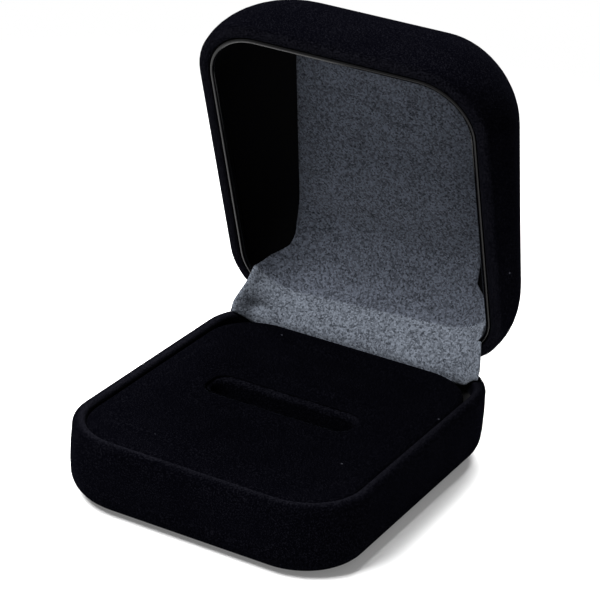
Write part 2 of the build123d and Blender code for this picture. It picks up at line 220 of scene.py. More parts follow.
def ring_skin(name, x, y, z, finish, tube=False):
    """Closed surface through loops, one per row. A tube joins its last row to
    its first, and any other skin has a fan to the middle of both end rows."""
    rows, cols = x.shape
    points = np.stack([x, y, z], -1).reshape(-1, 3)
    faces = [grid_faces(rows, cols, tube, True)]
    if not tube:
        ring = np.arange(cols)
        onward, last, pole = (ring + 1) % cols, (rows - 1) * cols, rows * cols
        points = np.vstack([points, points[:cols].mean(0), points[last:].mean(0)])
        faces.append(np.stack([np.full(cols, pole), onward, ring], 1))
        faces.append(np.stack([np.full(cols, pole + 1), last + ring, last + onward], 1))
    return make_mesh(name, points, faces, finish)


def thick_sheet(name, x, y, z, thickness, finish):
    """Closed sheet: the grid and a copy moved against its normals, with the
    edges joined."""
    front = np.stack([x, y, z], -1)
    normal = np.cross(np.gradient(front, axis=1), np.gradient(front, axis=0))
    normal /= np.linalg.norm(normal, axis=-1, keepdims=True)
    back = front - normal * thickness
    rows, cols = x.shape
    count = rows * cols
    front_faces = grid_faces(rows, cols, False, False)
    edge = np.concatenate(
        [
            np.arange(cols),
            np.arange(1, rows) * cols + cols - 1,
            (rows - 1) * cols + np.arange(cols - 2, -1, -1),
            np.arange(rows - 2, 0, -1) * cols,
        ]
    )
    onward = np.roll(edge, -1)
    sides = np.stack([edge, edge + count, onward + count, onward], 1)
    points = np.vstack([front.reshape(-1, 3), back.reshape(-1, 3)])
    return make_mesh(name, points, [front_faces, front_faces[:, ::-1] + count, sides], finish)


def set_point_values(obj, name, values):
    """Stores a value from 0 to 1 on the vertices, 0 on those left over: how much painted sheen lightens a
    velvet's pile where it opens, or how much painted light lightens a cloth."""
    layer = obj.data.attributes.new(name, "FLOAT", "POINT")
    padded = np.zeros(len(obj.data.vertices))
    padded[: values.size] = values.ravel()
    layer.data.foreach_set("value", padded)


# ----------------------------------------------------------------- materials
def add_node(tree, kind, inputs=None, **properties):
    """Adds a node. Inputs maps a socket's name or number to a value or to
    another node's output."""
    node = tree.nodes.new(kind)
    for key, value in properties.items():
        setattr(node, key, value)
    for key, source in (inputs or {}).items():
        if isinstance(source, bpy.types.NodeSocket):
            tree.links.new(source, node.inputs[key])
        else:
            node.inputs[key].default_value = source
    return node


def new_material(name):
    """An empty node material with its output."""
    material = bpy.data.materials.new(name)
    material.use_nodes = True
    tree = material.node_tree
    tree.nodes.clear()
    return material, tree, tree.nodes.new("ShaderNodeOutputMaterial")


def ramp(tree, factor, dark, light):
    """A colour ramp between two (position, sRGB hex) stops."""
    node = add_node(tree, "ShaderNodeValToRGB", {"Fac": factor})
    for element, (position, colour) in zip(node.color_ramp.elements, (dark, light)):
        element.position, element.color = position, linear(colour)
    return node.outputs["Color"]


def per_mm(count):
    """Scale of a pattern on Object coordinates, from its repeats to a millimetre."""
    return count / MM


def velvet_material():
    """Rayon velvet, short cut pile: almost no light comes back out of the pile. Along the rims and the
    slot's lip, where the pile opens over a fold, a painted sheen lightens it."""
    c = colours()
    material, tree, out = new_material("black_rayon_velvet")
    place = add_node(tree, "ShaderNodeTexCoord").outputs["Object"]
    # pile tufts 0.24 mm apart, nap marks about 6 mm across
    tufts = add_node(
        tree, "ShaderNodeTexNoise", {"Vector": place, "Scale": per_mm(4.2), "Detail": 1.0, "Roughness": 0.6}
    )
    nap = add_node(
        tree, "ShaderNodeTexNoise", {"Vector": place, "Scale": per_mm(0.16), "Detail": 2.0, "Roughness": 0.5}
    )
    # stray fibres: the middles of one cell in fifty, where the surface meets
    # them, which leaves a few on the whole box, up to 0.35 mm across
    cells = add_node(
        tree, "ShaderNodeTexVoronoi", {"Vector": place, "Scale": per_mm(0.52), "Randomness": 1.0}
    )
    near = add_node(tree, "ShaderNodeMath", {0: cells.outputs["Distance"], 1: 0.09}, operation="LESS_THAN")
    hue = add_node(tree, "ShaderNodeSeparateColor", {"Color": cells.outputs["Color"]})
    rare = add_node(tree, "ShaderNodeMath", {0: hue.outputs["Red"], 1: 0.98}, operation="GREATER_THAN")
    lint = add_node(tree, "ShaderNodeMath", {0: near.outputs[0], 1: rare.outputs[0]}, operation="MULTIPLY")
    pile = add_node(tree, "ShaderNodeAttribute", attribute_name="pile")
    marks = add_node(
        tree,
        "ShaderNodeMath",
        {0: nap.outputs["Fac"], 1: 0.10, 2: tufts.outputs["Fac"]},
        operation="MULTIPLY_ADD",
    )
    # painted sheen: the pile attribute adds lightness along the rims and the slot's lip, on top of the
    # tufts' own tone
    tone_and_painted_sheen = add_node(
        tree,
        "ShaderNodeMath",
        {0: pile.outputs["Fac"], 1: 0.22, 2: marks.outputs[0]},
        operation="MULTIPLY_ADD",
    )
    shade = ramp(tree, tone_and_painted_sheen.outputs[0], (0.56, c.velvet_dark), (0.92, c.velvet_tips_and_painted_sheen))
    colour = add_node(
        tree, "ShaderNodeMix", {"Factor": lint.outputs[0], 6: shade, 7: linear(c.lint)}, data_type="RGBA"
    )
    bump = add_node(
        tree, "ShaderNodeBump", {"Height": tufts.outputs["Fac"], "Strength": 0.5, "Distance": 0.2 * MM}
    )
    velvet = add_node(
        tree,
        "ShaderNodeBsdfPrincipled",
        {
            "Base Color": colour.outputs[2],
            "Normal": bump.outputs["Normal"],
            "Roughness": 1.0,
            "Specular IOR Level": 0.0,
            "Sheen Weight": 0.008,
            "Sheen Roughness": 0.3,
            "Sheen Tint": linear(c.velvet_sheen),
        },
    )
    tree.links.new(velvet.outputs[0], out.inputs["Surface"])
    return material


def cloth_material():
    """Brushed polyester cloth: matt, a salt-and-pepper speckle of light and dark fibres about 0.3 mm across
    over a faint twill, painted paler where the hinge cloth takes the light, from its crease down."""
    c = colours()
    material, tree, out = new_material("slate_brushed_cloth")
    place = add_node(tree, "ShaderNodeTexCoord").outputs["Object"]
    # fibre ends: even grains 0.29 mm across, softened by noise of 0.33 mm
    cells = add_node(
        tree, "ShaderNodeTexVoronoi", {"Vector": place, "Scale": per_mm(3.4), "Randomness": 1.0}
    )
    grain = add_node(tree, "ShaderNodeSeparateColor", {"Color": cells.outputs["Color"]})
    noise = add_node(
        tree, "ShaderNodeTexNoise", {"Vector": place, "Scale": per_mm(3.0), "Detail": 3.0, "Roughness": 0.8}
    )
    fibres = add_node(
        tree, "ShaderNodeMix", {"A": noise.outputs["Fac"], "B": grain.outputs["Red"], "Factor": 0.48}
    )
    # brushing leaves soft clouds about 4 mm across
    clouds = add_node(tree, "ShaderNodeTexNoise", {"Vector": place, "Scale": per_mm(0.26), "Detail": 3.0})
    # twill ribs 0.5 mm apart, turned off the box's own directions
    turn = add_node(tree, "ShaderNodeMapping", {"Vector": place, "Rotation": (0.3, 0.6, 0.9)})
    twill = add_node(
        tree,
        "ShaderNodeTexWave",
        {"Vector": turn.outputs[0], "Scale": per_mm(0.62), "Distortion": 3.0, "Detail": 2.0},
    )
    weave = add_node(
        tree,
        "ShaderNodeMath",
        {0: twill.outputs["Fac"], 1: 0.04, 2: fibres.outputs["Result"]},
        operation="MULTIPLY_ADD",
    )
    fade = add_node(
        tree,
        "ShaderNodeMath",
        {0: clouds.outputs["Fac"], 1: 0.14, 2: weave.outputs[0]},
        operation="MULTIPLY_ADD",
    )
    flat = ramp(tree, fade.outputs[0], (0.27, c.lining_dark), (0.86, c.lining_light))
    # painted light: a paler copy of the lining's shades where the nap attribute marks the lit hinge cloth
    painted_lit = ramp(tree, fade.outputs[0], (0.27, c.painted_lit_lining_dark), (0.86, c.painted_lit_lining_light))
    nap = add_node(tree, "ShaderNodeAttribute", attribute_name="nap")
    shade = add_node(
        tree, "ShaderNodeMix", {"Factor": nap.outputs["Fac"], 6: flat, 7: painted_lit}, data_type="RGBA"
    )
    bump = add_node(
        tree, "ShaderNodeBump", {"Height": weave.outputs[0], "Strength": 0.45, "Distance": 0.2 * MM}
    )
    cloth = add_node(
        tree,
        "ShaderNodeBsdfPrincipled",
        {
            "Base Color": shade.outputs[2],
            "Normal": bump.outputs["Normal"],
            "Roughness": 0.95,
            "Specular IOR Level": 0.1,
            "Sheen Weight": 0.05,
            "Sheen Roughness": 0.5,
        },
    )
    tree.links.new(cloth.outputs[0], out.inputs["Surface"])
    return material


def plain_material(name, colour, roughness, metallic=0.0, grain=0.9, bump=0.1, specular=0.5):
    """A moulded, plated or felted finish: the named colour with a fine
    variation of its shade and roughness and a shallow bump, all at so many
    grains to a millimetre."""
    material, tree, out = new_material(name)
    place = add_node(tree, "ShaderNodeTexCoord").outputs["Object"]
    noise = add_node(tree, "ShaderNodeTexNoise", {"Vector": place, "Scale": per_mm(grain), "Detail": 3.0})
    full = linear(getattr(colours(), colour))
    shade = add_node(tree, "ShaderNodeValToRGB", {"Fac": noise.outputs["Fac"]})
    low, high = shade.color_ramp.elements
    low.position, low.color = 0.3, (*(0.8 * v for v in full[:3]), 1.0)
    high.position, high.color = 0.7, full
    rough = add_node(
        tree,
        "ShaderNodeMapRange",
        {"Value": noise.outputs["Fac"], "To Min": roughness * 0.9, "To Max": min(1.0, roughness * 1.15)},
    )
    relief = add_node(
        tree, "ShaderNodeBump", {"Height": noise.outputs["Fac"], "Strength": bump, "Distance": 0.1 * MM}
    )
    body = add_node(
        tree,
        "ShaderNodeBsdfPrincipled",
        {
            "Base Color": shade.outputs["Color"],
            "Roughness": rough.outputs["Result"],
            "Normal": relief.outputs["Normal"],
            "Metallic": metallic,
            "Specular IOR Level": specular,
        },
    )
    tree.links.new(body.outputs[0], out.inputs["Surface"])
    return material


CLOTH_FINISHES = {"black_rayon_velvet": velvet_material, "slate_brushed_cloth": cloth_material}
PLAIN_FINISHES = {
    # vacuum-formed polystyrene, glossy as it leaves the mould
    "gloss_black_polystyrene": dict(colour="liner", roughness=0.16, grain=0.06, bump=0.02, specular=0.12),
    # the same moulding where its walls are grained and lie in their own shade
    "matt_black_polystyrene": dict(colour="liner", roughness=0.7, grain=1.8, specular=0.02),
    # injection-moulded ABS with a matt texture
    "matt_black_abs": dict(colour="plastic", roughness=0.6, grain=1.5),
    # stamped steel with a dull nickel plating
    "nickel_plated_steel": dict(colour="steel", roughness=0.32, metallic=1.0, bump=0.05),
    # pressed grey board
    "grey_board": dict(colour="card", roughness=0.9, grain=1.1, bump=0.3),
    # open-cell polyurethane foam
    "charcoal_foam": dict(colour="foam", roughness=0.95, grain=1.4, bump=0.8),
    # needled felt
    "black_felt": dict(colour="felt", roughness=1.0, grain=1.2, bump=0.7),
}


def material(name):
    """The named finish, made once."""
    made = bpy.data.materials.get(name)
    if made:
        return made
    if name in CLOTH_FINISHES:
        return CLOTH_FINISHES[name]()
    return plain_material(name, **PLAIN_FINISHES[name])


def finish_nodes(names, finish):
    """Gives carried-over CAD nodes a finish."""
    for name in names:
        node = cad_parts[name]
        for place in node.material_slots:
            place.material = material(finish)
        if not node.material_slots:
            node.data.materials.append(material(finish))


# ------------------------------------------------- shapes of the base and lid
def axis_back():
    """How far the hinge axis lies behind the box's middle."""
    s = sizes()
    return s.depth / 2 - s.rim_roll


def opened(x, y, z):
    """Turns lid sizes, measured from the hinge axis with the lid closed, back
    by the open angle: y cos + z sin, z cos - y sin, from the axis."""
    s = sizes()
    c, n = math.cos(s.open_angle), math.sin(s.open_angle)
    return x, axis_back() + y * c + z * n, s.base_height + RIM_GAP + s.rim_roll - y * n + z * c


def plan_rows(profile):
    """Loops of the box's plan for (inset, height) pairs, about its middle."""
    s = sizes()
    inset, height = np.asarray(profile, float).T
    x, y = loops(s.width / 2 - inset, s.depth / 2 - inset, s.corner - inset)
    return x, y, np.repeat(height[:, None], x.shape[1], 1)


def rim_rows(profile):
    """The same loops for the lid's rim, measured from the hinge axis."""
    x, y, z = plan_rows(profile)
    return x, y - axis_back(), z


def dome_row(level, inset):
    """Half width, half depth, corner radius and mid height of the dome at a
    level from 0 to 1: half size * (1 - level^2.1)^(1/2.1) with a little
    draft, and a bulge 4t(1 - t) on the sides."""
    s = sizes()
    level = np.asarray(level, float)
    scale = (1 - np.minimum(level, 1) ** DOME_POWER) ** (1 / DOME_POWER) * (1 - DOME_DRAFT * level)
    t = np.minimum(level / BULGE_TOP, 1)
    bulge = 4 * t * (1 - t) * s.dome_bulge
    half_w = (s.width / 2 - inset) * scale + bulge
    half_d = (s.depth / 2 - inset) * scale
    return half_w, half_d, (s.corner - inset) * scale + bulge, level * (s.dome_height - inset)


def dome_rows(levels, inset):
    """Loops of the dome from the axis level up, leaning with the slope."""
    half_w, half_d, radius, height = dome_row(levels, inset)
    x, y = loops(half_w, half_d, radius)
    z = height[:, None] - np.asarray(levels)[:, None] * sizes().dome_slope * y
    return x, y - axis_back(), z


def levels_up(count):
    """Levels spaced evenly round the dome's curve, to just short of its top."""
    highest = 0.9995
    return np.sin(np.linspace(0, math.asin(highest), count))


def stack(*parts):
    """Rows of several sets of loops in order."""
    return [np.vstack([p[k] for p in parts]) for k in range(3)]


def hinge_lift(x, y, z):
    """Lifts the back of the lid's rim for the hinge leaves that pass under it:
    by rise at the rim, falling to nothing at reach above it, at the notch's
    ends and towards the front."""
    notch_half, notch_end = 16.9, 0.9
    front, front_fade = -8.0, 4.0
    rise, reach = 2.65, 7.0
    side = 1 - ease((np.abs(x) - notch_half + notch_end) / notch_end)
    back = ease((y - front) / front_fade)
    return z + side * back * rise * (1 - ease((z + sizes().rim_roll) / reach))


def inner_back(x, z, inset):
    """y of the liner's back wall at x and height z, from the axis: the half
    depth of the section there less the corner's drop, found by iteration."""
    s = sizes()
    y = np.full(np.broadcast(x, z).shape, 28.0)  # near enough to start from
    for _ in range(12):
        level = np.clip(z / (s.dome_height - inset - s.dome_slope * y), 0, 0.98)
        half_w, half_d, radius = dome_row(level, inset)[:3]
        over = np.clip(np.abs(x) - (half_w - radius), 0, radius * 0.995)
        y = half_d - radius + np.sqrt(radius**2 - over**2)
    return y - axis_back()


def cloth_half_width(z, side):
    """Half width of the grey cloth at a height above the axis level: it keeps
    to the ceiling's width and flares towards the rim, more on the right."""
    left = np.interp(z, [0.0, 1.6, 3.2, 4.6, 5.6, 6.8, 8.25], [23.6, 23.4, 22.7, 22.0, 21.0, 19.6, 18.8])
    right = np.interp(z, [0.0, 2.3, 4.7, 6.95, 8.25], [24.0, 23.7, 22.6, 20.6, 18.9])
    return np.where(side < 0, left, right)


# ------------------------------------------------------------------ operators
class RINGBOX_OT_base_velvet(bpy.types.Operator):
    """Velvet skin of the base, turned over its rim"""

    bl_idname = "ringbox.base_velvet"
    bl_label = "Base Velvet"

    def execute(self, context):
        s = sizes()
        top, skin, rim, roll = s.base_height, s.velvet, s.rim, s.rim_roll
        sole, foot = 0.3, 4.6  # height of the underside, rounding of the lower edge
        turned_under = 7.0  # how far in it reaches underneath
        tuck = top - 3.4  # height where the turned-in edge ends inside
        bed = top - RIM_BED
        profile = np.vstack(
            [
                resample([(turned_under, sole), (foot, sole)], 4),
                arc(foot, sole + foot, foot, foot, 270, 180, 12),
                # half way up, the side stands out by a tenth of a millimetre
                resample([(-0.1, 6.2), (-0.12, 9.5), (0.0, top - 1.6)], 8),
                arc(roll, top - roll, roll, roll, 180, 90, 8),
                arc(rim - RIM_FOLD, top - RIM_FOLD, RIM_FOLD, RIM_FOLD, 90, 0, 6),
                resample([(rim, top - 1.4), (rim, tuck), (rim - skin, tuck), (rim - skin, bed)], 10),
                resample([(skin, bed), (skin, 5.0)], 6),
                arc(foot, sole + foot, foot - skin, foot - skin, 180, 270, 8),
                resample([(5.0, sole + skin), (turned_under, sole + skin)], 3),
            ]
        )
        x, y, z = plan_rows(profile)
        obj = ring_skin("base_velvet_skin", x, y, z, material("black_rayon_velvet"), tube=True)
        # painted sheen: the pile is lighter along the rim's inner edge, where it opens over the fold
        edge_inset, reach = 1.7, 1.5
        inset, height = profile.T
        pile = ease(1 - np.hypot(inset - edge_inset, height - top) / reach)
        set_point_values(obj, "pile", np.repeat(pile, x.shape[1]))
        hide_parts("base_velvet")
        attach(obj, "base")
        return {"FINISHED"}


class RINGBOX_OT_lid_velvet(bpy.types.Operator):
    """Velvet skin of the domed lid, turned over its rim"""

    bl_idname = "ringbox.lid_velvet"
    bl_label = "Lid Velvet"

    def execute(self, context):
        s = sizes()
        skin, rim, roll = s.velvet, s.rim, s.rim_roll
        bed = -roll + RIM_BED
        tuck = 2.0  # height where the turned-in edge ends inside
        inside = dome_rows(levels_up(20)[::-1], skin)
        fold = rim_rows(
            np.vstack(
                [
                    resample([(skin, bed), (rim - skin, bed), (rim - skin, tuck), (rim, tuck)], 10),
                    resample([(rim, 1.0), (rim, -roll + 0.9)], 4),
                    arc(rim - RIM_FOLD, -roll + RIM_FOLD, RIM_FOLD, RIM_FOLD, 0, -90, 6),
                    arc(roll, 0, roll, roll, 270, 180, 8),
                ]
            )
        )
        outside = dome_rows(levels_up(34)[1:], 0.0)
        x, y, z = stack(inside, fold, outside)
        z = hinge_lift(x, y, z)
        obj = ring_skin("lid_velvet_skin", *opened(x, y, z), material("black_rayon_velvet"))
        # painted sheen round the rim, where the pile opens over it, strongest at its face
        rim_sheen_peak, reach = 0.7, 1.3
        painted_rim_sheen = rim_sheen_peak * ease(1 - np.abs(z + roll) / reach)
        painted_rim_sheen[: len(inside[0])] = 0
        set_point_values(obj, "pile", painted_rim_sheen)
        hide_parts("lid_velvet")
        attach(obj, "lid")
        return {"FINISHED"}


class RINGBOX_OT_liner(bpy.types.Operator):
    """Black liner inside the lid, with a rolled gloss lip"""

    bl_idname = "ringbox.liner"
    bl_label = "Liner"

    def execute(self, context):
        outer = sizes().rim
        lip_radius, lip_height = LINER_WALL / 2 + 0.1, -0.55
        inside = dome_rows(levels_up(24)[::-1], outer + LINER_WALL)
        lip = rim_rows(arc(outer + lip_radius, lip_height, lip_radius, lip_radius, 30, -180, 10))
        outside = dome_rows(levels_up(24), outer)
        x, y, z = stack(inside, lip, outside)
        z = hinge_lift(x, y, z)
        obj = ring_skin("lid_liner_moulding", *opened(x, y, z), material("matt_black_polystyrene"))
        # the lip was polished by the trimming tool, the walls have a fine grain
        obj.data.materials.append(material("gloss_black_polystyrene"))
        cols, first = x.shape[1], len(inside[0])
        slots = np.zeros(len(obj.data.polygons), dtype=np.int32)
        slots[(first - 1) * cols : (first + len(lip[0])) * cols] = 1
        obj.data.polygons.foreach_set("material_index", slots)
        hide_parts("lid_liner")
        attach(obj, "lid")
        return {"FINISHED"}


class RINGBOX_OT_lining(bpy.types.Operator):
    """Grey cloth over the lid's ceiling and down its back wall"""

    bl_idname = "ringbox.lining"
    bl_label = "Lining"

    def execute(self, context):
        inset = sizes().rim + LINER_WALL
        centre = -axis_back()
        # height of the ceiling over the box's middle, rising towards the front
        ceiling, slope = 14.0, math.tan(math.radians(10.5))
        # how far the turn reaches along the ceiling and down the wall
        bend_y, bend_z = 3.4, 3.06
        lower_edge = 4.3
        across = np.linspace(-1, 1, 61)[None, :]
        x0 = across * CEILING_HALF_WIDTH
        # where the ceiling's plane meets the back wall, found by iteration
        y_corner = np.full_like(x0, -9.0)
        for _ in range(20):
            z_corner = ceiling - slope * (y_corner - centre)
            y_corner = 0.5 * y_corner + 0.5 * (inner_back(x0, z_corner, inset) - LINING_OFF_WALL)
        z_corner = ceiling - slope * (y_corner - centre)
        # the front edge follows the liner's section at the ceiling's level
        ceiling_level, front_gap = 0.70, 0.3
        half_w, half_d, radius = dome_row(ceiling_level, inset)[:3]
        over = np.clip(np.abs(x0) - (half_w - radius), 0, radius * 0.99)
        y_front = centre - half_d + radius - np.sqrt(radius**2 - over**2) + front_gap
        # ceiling, turn and back wall
        run = np.linspace(0, 1, 46)[:, None]
        y_turn = y_corner - bend_y
        y1 = y_front + (y_turn - y_front) * run
        z1 = ceiling - slope * (y1 - centre)
        turn = np.linspace(0, 1, 10)[1:-1, None]
        z_wall = z_corner - bend_z
        y_wall = inner_back(x0, z_wall, inset) - LINING_OFF_WALL
        y2 = bend_curve(y_turn, y_corner, y_wall, turn)
        z2 = bend_curve(ceiling - slope * (y_turn - centre), z_corner, z_wall, turn)
        z3 = z_wall + (lower_edge - z_wall) * np.linspace(0, 1, 14)[:, None]
        x3 = across * cloth_half_width(z3, across)
        y3 = inner_back(x3, z3, inset) - LINING_OFF_WALL
        x = np.vstack([np.repeat(x0, len(run) + len(turn), 0), x3])
        y, z = np.vstack([y1, y2, y3]), np.vstack([z1, z2, z3])
        # padded: the ceiling's edges tuck back and its middle swells forward
        tuck, swell = 0.35, 0.5
        rows = len(run)
        from_edge = np.minimum(CEILING_HALF_WIDTH - np.abs(x[:rows]), y[:rows] - y_front)
        z[:rows] += tuck - swell * ease(4 * from_edge / CEILING_HALF_WIDTH) * (1 - ease((run - 0.85) / 0.15))
        z[rows:] += tuck * (1 - ease(np.arange(len(z) - rows)[:, None] / 6))
        obj = thick_sheet("lid_lining_cloth", *opened(x, y, z), CLOTH, material("slate_brushed_cloth"))
        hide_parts("lid_lining")
        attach(obj, "lid")
        return {"FINISHED"}


class RINGBOX_OT_hinge_cloth(bpy.types.Operator):
    """Grey cloth strip over the hinge, from the lid's back wall to the pad"""

    bl_idname = "ringbox.hinge_cloth"
    bl_label = "Hinge Cloth"

    def execute(self, context):
        s = sizes()
        cos_open, sin_open = math.cos(s.open_angle), math.sin(s.open_angle)
        across = np.linspace(-1, 1, 81)[None, :]
        outward = np.abs(across)
        # on the lid's back wall, in front of the lining, from its upper edge
        # down to a crease that slants down to the left
        upper_edge, off_wall, crease_height, crease_slant = 4.9, 0.80, 1.5, 1.4
        crease = crease_height + crease_slant * across
        height = upper_edge + (crease - upper_edge) * np.linspace(0, 1, 10)[:, None]
        x_wall = across * (cloth_half_width(height, across) - 0.4 * ease((height - 3.4) / 1.5))
        y_wall = inner_back(x_wall, height, s.rim + LINER_WALL) - off_wall - 0.35 * outward**6
        x_wall, y_wall, z_wall = opened(x_wall, y_wall, height)
        # the lower edge lies behind the pad, its corners up on the base's rim
        left, right, behind_pad, below_rim = 25.6, 24.9, 28.0, 0.45
        corner_rise, left_forward, right_forward = 1.25, 3.0, 1.7
        corner = ease((outward - 0.86) / 0.14)
        x_edge = across * np.where(across < 0, left, right)
        y_edge = behind_pad - np.where(across < 0, left_forward, right_forward) * corner
        z_edge = s.base_height - below_rim + corner_rise * corner
        # the span between them leaves the wall along it, further at the ends,
        # widens on its way and comes down behind the pad
        t = np.linspace(0, 1, 22)[1:, None]
        pull = 1.6 + 7.4 * ease((outward - 0.6) / 0.28)
        x_span = x_wall[-1] + (x_edge - x_wall[-1]) * ease((t - 0.2) / 0.6)
        y_span = span_curve(y_wall[-1], -sin_open * pull, y_edge, -1.0, t)
        z_span = span_curve(z_wall[-1], -cos_open * pull, z_edge, -4.5 + 3.5 * corner, t)
        # a dent where the strip's left end buckles
        dent, dent_across, dent_t = 0.5, -0.84, 0.72
        y_span += dent * np.exp(-(((across - dent_across) / 0.07) ** 2) - ((t - dent_t) / 0.18) ** 2)
        # shallow waves along the strip, deepest half way down
        wave_height = 0.14
        wave = np.sin(across * 7.0 + 0.6) + 0.6 * np.sin(across * 17.0 + 2.0)
        z_span += wave_height * wave * np.sin(math.pi * t) * (1 - corner)
        # the hem goes down behind the pad
        hem, hem_back = 1.6, 0.1
        down = np.linspace(0, 1, 4)[1:, None]
        x_hem = np.repeat(x_edge, len(down), 0)
        y_hem = y_edge + hem_back * down
        z_hem = z_edge - hem * down * (1 - corner) - 0.15 * down
        x = np.vstack([x_wall, x_span, x_hem])
        y = np.vstack([y_wall, y_span, y_hem])
        z = np.vstack([z_wall, z_span, z_hem])
        obj = thick_sheet("hinge_cloth", x, y, z, CLOTH, material("slate_brushed_cloth"))
        # painted light: the strip is paler from the crease down, on both faces, as if lit more
        painted_lit = np.vstack([ease((crease + 0.35 - height) / 0.5), np.ones_like(x_span), np.ones_like(x_hem)])
        set_point_values(obj, "nap", np.concatenate([painted_lit, painted_lit]))
        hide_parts("hinge_cover")
        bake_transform(obj)
        return {"FINISHED"}


class RINGBOX_OT_pad(bpy.types.Operator):
    """Velvet pad with its slot"""

    bl_idname = "ringbox.pad"
    bl_label = "Pad"

    def execute(self, context):
        s = sizes()
        top, bottom = s.base_height - 0.5, 3.1
        front, back, slot_y = -30.85, 27.05, -0.8
        middle = (front + back) / 2
        half_w, half_d, radius = 25.6, (back - front) / 2, 10.0
        slot_w, slot_d, slot_floor = s.slot_length / 2, s.slot_width / 2, 4.5
        roll, lip_w, lip_h = 1.0, 1.3, 1.2  # rounding of the edge and of the slot's lip
        # rows of (mix from the pad's outline to the slot's, inset, height)
        under = [(0, 20.0, bottom), (0, 12.0, bottom), (0, 1.0, bottom)]
        side = [(0, 0.25, bottom + 0.4), (0, 0.1, 7.0), (0, 0.0, 10.0)]
        edge = [(0, i, z) for i, z in arc(roll, top - roll, roll, roll, 180, 90, 9)]
        flat = [(m, roll * (1 - m), top) for m in np.linspace(0, 1, 26)[1:-1]]
        lip = [(1, i - lip_w, z) for i, z in arc(0.0, top - lip_h, lip_w, lip_h, 90, 0, 8)]
        deep = [(1, 0.0, 9.0), (1, 0.0, 6.0), (1, 0.2, slot_floor + 0.1)]
        deep += [(1, 1.2, slot_floor), (1, 2.0, slot_floor)]
        mix, inset, height = np.array(under + side + edge + flat + lip + deep).T
        x, y = loops(
            half_w + (slot_w - half_w) * mix - inset,
            half_d + (slot_d - half_d) * mix - inset,
            np.maximum(radius + (slot_d - 0.05 - radius) * mix - inset * (1 - mix), 0.05),
        )
        y += (middle + (slot_y - middle) * mix)[:, None]
        z = np.repeat(height[:, None], x.shape[1], 1)
        # the crown rises between the edge and the slot's lip
        crown_rows = slice(len(under + side + edge), -len(lip + deep))
        z[crown_rows] += s.crown * np.sin(math.pi * mix[crown_rows])[:, None]
        obj = ring_skin("pad_velvet_cover", x, y, z, material("black_rayon_velvet"))
        # painted highlight: the pile is a little lighter along the slot's lip, where it opens over the crest
        lip_sheen_peak, below_top = 0.5, 0.2
        painted_lip_sheen = lip_sheen_peak * ease(1 - np.abs(height - top + below_top)) * (mix > 0.98)
        set_point_values(obj, "pile", np.repeat(painted_lip_sheen, x.shape[1]))
        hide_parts("pad_velvet")
        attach(obj, "base")
        return {"FINISHED"}


class RINGBOX_OT_underside(bpy.types.Operator):
    """Felt under the base"""

    bl_idname = "ringbox.underside"
    bl_label = "Underside"

    def execute(self, context):
        half_w, half_d, radius, thickness = 20.9, 25.4, 6.9, 0.8
        inner, soft = 8.0, 0.35  # where the fans of both faces start, rounding of the lower edge
        rows = [(inner, 0.0), (0.6, 0.0), (0.15, 0.12), (0.0, soft)]
        rows += [(0.0, thickness - 0.05), (0.3, thickness), (inner, thickness)]
        inset, height = np.array(rows).T
        x, y = loops(half_w - inset, half_d - inset, np.maximum(radius - inset, 1.0))
        z = np.repeat(height[:, None], x.shape[1], 1)
        obj = ring_skin("underside_felt", x, y, z, material("black_felt"))
        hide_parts("base_underside")
        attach(obj, "base")
        return {"FINISHED"}


class RINGBOX_OT_carried_nodes(bpy.types.Operator):
    """Finishes for the shells, boards, foams and hinge metal"""

    bl_idname = "ringbox.carried_nodes"
    bl_label = "Shells, Boards and Hinge"

    def execute(self, context):
        finish_nodes(["base_shell", "lid_shell"], "matt_black_abs")
        finish_nodes(["pad_card", "lid_card"], "grey_board")
        finish_nodes(["pad_foam", "lid_wadding"], "charcoal_foam")
        steel = ["base_hinge_leaf", "lid_hinge_leaf", "hinge_pin", "hinge_spring"]
        steel += [f"{body}_rivet_{side}" for body in ("base", "lid") for side in ("left", "right")]
        finish_nodes(steel, "nickel_plated_steel")
        return {"FINISHED"}


